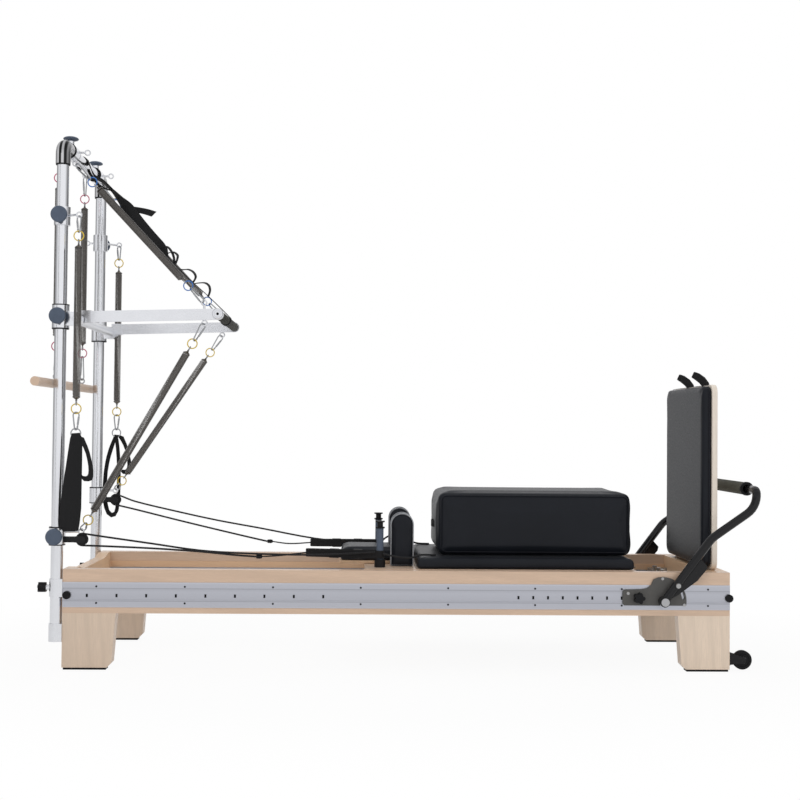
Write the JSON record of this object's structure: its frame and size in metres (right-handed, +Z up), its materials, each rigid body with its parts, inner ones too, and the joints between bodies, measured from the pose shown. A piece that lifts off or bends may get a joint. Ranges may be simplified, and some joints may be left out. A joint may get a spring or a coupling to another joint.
{
  "type": "pilates tower reformer",
  "caption": "Half-tower pilates reformer: timber bed with a rolling upholstered carriage, a tubular spring tower, push bar, footbar, jump board and sitting box.",
  "frame": {"origin": "under the middle of the whole machine's box, on the floor", "axes": "+X from the head end with the tower to the foot end, +Y to the far side, +Z up"},
  "size_m": [2.565, 0.98, 1.9063],
  "materials": {
    "maple": "clear matt lacquer",
    "aluminium": "anodised, fine brushed",
    "chrome": "polished",
    "steel_grey": "brushed",
    "spring_steel": "oiled",
    "black_metal": "satin powder coat",
    "black_plastic": "moulded",
    "slate_plastic": "moulded",
    "rubber": "matt",
    "foam": "closed-cell foam",
    "upholstery": "smooth synthetic leather",
    "webbing": "woven",
    "rope": "braided"
  },
  "bodies": {
    "bed_and_tower": {"side_rails": "maple", "end_boards": "maple", "legs": "maple", "rubber_feet": "rubber", "side_profiles": "aluminium", "bed_screws": "steel_grey", "spring_bar": "steel_grey", "tower_clamps": "aluminium", "tower_tubes": "aluminium", "elbows": "chrome", "tower_collars": "chrome", "collar_bushes": "black_plastic", "pulley_blocks": "black_metal", "footbar_brackets": "steel_grey", "wheel_brackets": "black_metal", "push_springs": "spring_steel", "safety_strap": "webbing", "pulley_ropes": "rope", "carriage_springs": "spring_steel"},
    "upper_collar_near": {"upper_collar_near": "chrome"},
    "hand_spring_swing_near": {"hand_springs_near": "spring_steel"},
    "hand_strap_near": {"hand_strap_near": "webbing"},
    "knob_upper_near": {"knob_upper_near": "slate_plastic"},
    "knob_push_near": {"knob_push_near": "slate_plastic"},
    "knob_lower_near": {"knob_lower_near": "slate_plastic"},
    "knob_top_near": {"knob_top_near": "black_plastic"},
    "tower_star_near": {"tower_star_near": "black_plastic"},
    "footbar_star_near": {"footbar_star_near": "black_plastic"},
    "pulley_near": {"pulley_near": "black_plastic"},
    "wheel_near": {"wheel_near": "rubber"},
    "shoulder_rest_near": {"shoulder_rest_near": "upholstery"},
    "upper_collar_far": {"upper_collar_far": "chrome"},
    "hand_spring_swing_far": {"hand_springs_far": "spring_steel"},
    "hand_strap_far": {"hand_strap_far": "webbing"},
    "knob_upper_far": {"knob_upper_far": "slate_plastic"},
    "knob_push_far": {"knob_push_far": "slate_plastic"},
    "knob_lower_far": {"knob_lower_far": "slate_plastic"},
    "knob_top_far": {"knob_top_far": "black_plastic"},
    "tower_star_far": {"tower_star_far": "black_plastic"},
    "footbar_star_far": {"footbar_star_far": "black_plastic"},
    "pulley_far": {"pulley_far": "black_plastic"},
    "wheel_far": {"wheel_far": "rubber"},
    "shoulder_rest_far": {"shoulder_rest_far": "upholstery"},
    "footbar": {"footbar_frame": "black_metal", "footbar_grip": "foam"},
    "footbar_lock": {"footbar_lock": "steel_grey"},
    "carriage": {"carriage_deck": "maple", "carriage_pad": "upholstery", "rope_posts": "slate_plastic", "rope_loops": "rope"},
    "roller_axle_head": {"roller_axle_head": "steel_grey"},
    "roller_axle_foot": {"roller_axle_foot": "steel_grey"},
    "headrest": {"headrest": "upholstery"},
    "sitting_box": {"sitting_box": "upholstery"},
    "jump_board": {"jump_board_pad": "upholstery", "jump_board_panel": "maple"},
    "push_bar": {"push_bar_frame": "aluminium", "push_bar_grip": "foam"},
    "roll_down_swing": {"roll_down_springs": "spring_steel"},
    "roll_down_bar": {"roll_down_bar": "maple"}
  },
  "joints": [
    {"name": "upper_collar_slide_near", "type": "slide", "parent": "bed_and_tower", "child": "upper_collar_near", "axis": [0, 0, 1], "range_m": [-0.2, 0.14]},
    {"name": "knob_upper_pull_near", "type": "slide", "parent": "upper_collar_near", "child": "knob_upper_near", "axis": [0, -1, 0], "range_m": [0, 0.008], "stiffness_N_per_m": 600, "springref_m": -0.004},
    {"name": "knob_push_pull_near", "type": "slide", "parent": "bed_and_tower", "child": "knob_push_near", "axis": [0, -1, 0], "range_m": [0, 0.008], "stiffness_N_per_m": 600, "springref_m": -0.004},
    {"name": "knob_lower_pull_near", "type": "slide", "parent": "bed_and_tower", "child": "knob_lower_near", "axis": [0, -1, 0], "range_m": [0, 0.008], "stiffness_N_per_m": 600, "springref_m": -0.004},
    {"name": "knob_top_pull_near", "type": "slide", "parent": "bed_and_tower", "child": "knob_top_near", "axis": [0, 0, 1], "range_m": [0, 0.008], "stiffness_N_per_m": 600, "springref_m": -0.004},
    {"name": "tower_star_turn_near", "type": "hinge", "parent": "bed_and_tower", "child": "tower_star_near", "pos_m": [-1.255, -0.316, 0.286], "axis": [1, 0, 0], "continuous": true},
    {"name": "footbar_star_turn_near", "type": "hinge", "parent": "bed_and_tower", "child": "footbar_star_near", "pos_m": [0.836, -0.337, 0.262], "axis": [0, 1, 0], "continuous": true},
    {"name": "pulley_turn_near", "type": "hinge", "parent": "bed_and_tower", "child": "pulley_near", "pos_m": [-1.13, -0.322, 0.455], "axis": [0, 1, 0], "continuous": true},
    {"name": "wheel_turn_near", "type": "hinge", "parent": "bed_and_tower", "child": "wheel_near", "pos_m": [1.218, -0.3, 0.038], "axis": [0, 1, 0], "continuous": true},
    {"name": "shoulder_rest_lift_near", "type": "slide", "parent": "carriage", "child": "shoulder_rest_near", "axis": [0, 0, 1], "range_m": [0, 0.055]},
    {"name": "hand_spring_swing_near", "type": "hinge", "parent": "upper_collar_near", "child": "hand_spring_swing_near", "pos_m": [-1.152, -0.354, 1.5955], "axis": [0, -1, 0], "range_deg": [0, 60]},
    {"name": "hand_strap_pull_near", "type": "slide", "parent": "hand_spring_swing_near", "child": "hand_strap_near", "axis": [0, 0, -1], "range_m": [0, 0.3], "stiffness_N_per_m": 130, "springref_m": -0.06, "deforming": ["hand_springs_near"]},
    {"name": "upper_collar_slide_far", "type": "slide", "parent": "bed_and_tower", "child": "upper_collar_far", "axis": [0, 0, 1], "range_m": [-0.2, 0.14]},
    {"name": "knob_upper_pull_far", "type": "slide", "parent": "upper_collar_far", "child": "knob_upper_far", "axis": [0, 1, 0], "range_m": [0, 0.008], "stiffness_N_per_m": 600, "springref_m": -0.004},
    {"name": "knob_push_pull_far", "type": "slide", "parent": "bed_and_tower", "child": "knob_push_far", "axis": [0, 1, 0], "range_m": [0, 0.008], "stiffness_N_per_m": 600, "springref_m": -0.004},
    {"name": "knob_lower_pull_far", "type": "slide", "parent": "bed_and_tower", "child": "knob_lower_far", "axis": [0, 1, 0], "range_m": [0, 0.008], "stiffness_N_per_m": 600, "springref_m": -0.004},
    {"name": "knob_top_pull_far", "type": "slide", "parent": "bed_and_tower", "child": "knob_top_far", "axis": [0, 0, 1], "range_m": [0, 0.008], "stiffness_N_per_m": 600, "springref_m": -0.004},
    {"name": "tower_star_turn_far", "type": "hinge", "parent": "bed_and_tower", "child": "tower_star_far", "pos_m": [-1.255, 0.316, 0.286], "axis": [1, 0, 0], "continuous": true},
    {"name": "footbar_star_turn_far", "type": "hinge", "parent": "bed_and_tower", "child": "footbar_star_far", "pos_m": [0.836, 0.337, 0.262], "axis": [0, 1, 0], "continuous": true},
    {"name": "pulley_turn_far", "type": "hinge", "parent": "bed_and_tower", "child": "pulley_far", "pos_m": [-1.143, 0.322, 0.558], "axis": [0, 1, 0], "continuous": true},
    {"name": "wheel_turn_far", "type": "hinge", "parent": "bed_and_tower", "child": "wheel_far", "pos_m": [1.218, 0.3, 0.038], "axis": [0, 1, 0], "continuous": true},
    {"name": "shoulder_rest_lift_far", "type": "slide", "parent": "carriage", "child": "shoulder_rest_far", "axis": [0, 0, 1], "range_m": [0, 0.055]},
    {"name": "hand_spring_swing_far", "type": "hinge", "parent": "upper_collar_far", "child": "hand_spring_swing_far", "pos_m": [-1.152, 0.354, 1.5955], "axis": [0, -1, 0], "range_deg": [0, 60]},
    {"name": "hand_strap_pull_far", "type": "slide", "parent": "hand_spring_swing_far", "child": "hand_strap_far", "axis": [0, 0, -1], "range_m": [0, 0.3], "stiffness_N_per_m": 130, "springref_m": -0.06, "deforming": ["hand_springs_far"]},
    {"name": "footbar_fold", "type": "hinge", "parent": "bed_and_tower", "child": "footbar", "pos_m": [0.923, 0, 0.251], "axis": [0, 1, 0], "range_deg": [0, 45]},
    {"name": "footbar_lock_pull", "type": "slide", "parent": "footbar", "child": "footbar_lock", "axis": [0, -1, 0], "range_m": [0, 0.006], "stiffness_N_per_m": 600, "springref_m": -0.006},
    {"name": "carriage_travel", "type": "slide", "parent": "bed_and_tower", "child": "carriage", "axis": [1, 0, 0], "range_m": [-0.85, 0], "stiffness_N_per_m": 400, "springref_m": 0.05, "deforming": ["pulley_ropes", "carriage_springs"]},
    {"name": "roller_turn_head", "type": "hinge", "parent": "carriage", "child": "roller_axle_head", "pos_m": [-0.063, 0, 0.303], "axis": [0, 1, 0], "range_deg": [-2440, 10]},
    {"name": "roller_turn_foot", "type": "hinge", "parent": "carriage", "child": "roller_axle_foot", "pos_m": [0.765, 0, 0.303], "axis": [0, 1, 0], "range_deg": [-2440, 10]},
    {"name": "headrest_tilt", "type": "hinge", "parent": "carriage", "child": "headrest", "pos_m": [0.024, 0, 0.3533], "axis": [0, 1, 0], "range_deg": [0, 30]},
    {"name": "sitting_box_lift", "type": "slide", "parent": "carriage", "child": "sitting_box", "axis": [0, 0, 1], "range_m": [0, 0.3]},
    {"name": "jump_board_lift", "type": "slide", "parent": "bed_and_tower", "child": "jump_board", "axis": [0, 0, 1], "range_m": [0, 0.3]},
    {"name": "push_bar_swing", "type": "hinge", "parent": "bed_and_tower", "child": "push_bar", "pos_m": [-1.167, 0, 1.232], "axis": [0, 1, 0], "range_deg": [-40, 40], "stiffness_Nm_per_rad": 60, "springref_deg": -7.45, "deforming": ["push_springs", "safety_strap"]},
    {"name": "roll_down_swing", "type": "hinge", "parent": "bed_and_tower", "child": "roll_down_swing", "pos_m": [-1.261, 0, 1.848], "axis": [0, 1, 0], "range_deg": [0, 30]},
    {"name": "roll_down_pull", "type": "slide", "parent": "roll_down_swing", "child": "roll_down_bar", "axis": [0, 0, -1], "range_m": [0, 0.3], "stiffness_N_per_m": 300, "springref_m": -0.06, "deforming": ["roll_down_springs"]}
  ],
  "couplings": [
    {"joint": "roller_turn_head", "follows": "carriage_travel", "rad_per_m": 50},
    {"joint": "roller_turn_foot", "follows": "carriage_travel", "rad_per_m": 50}
  ]
}
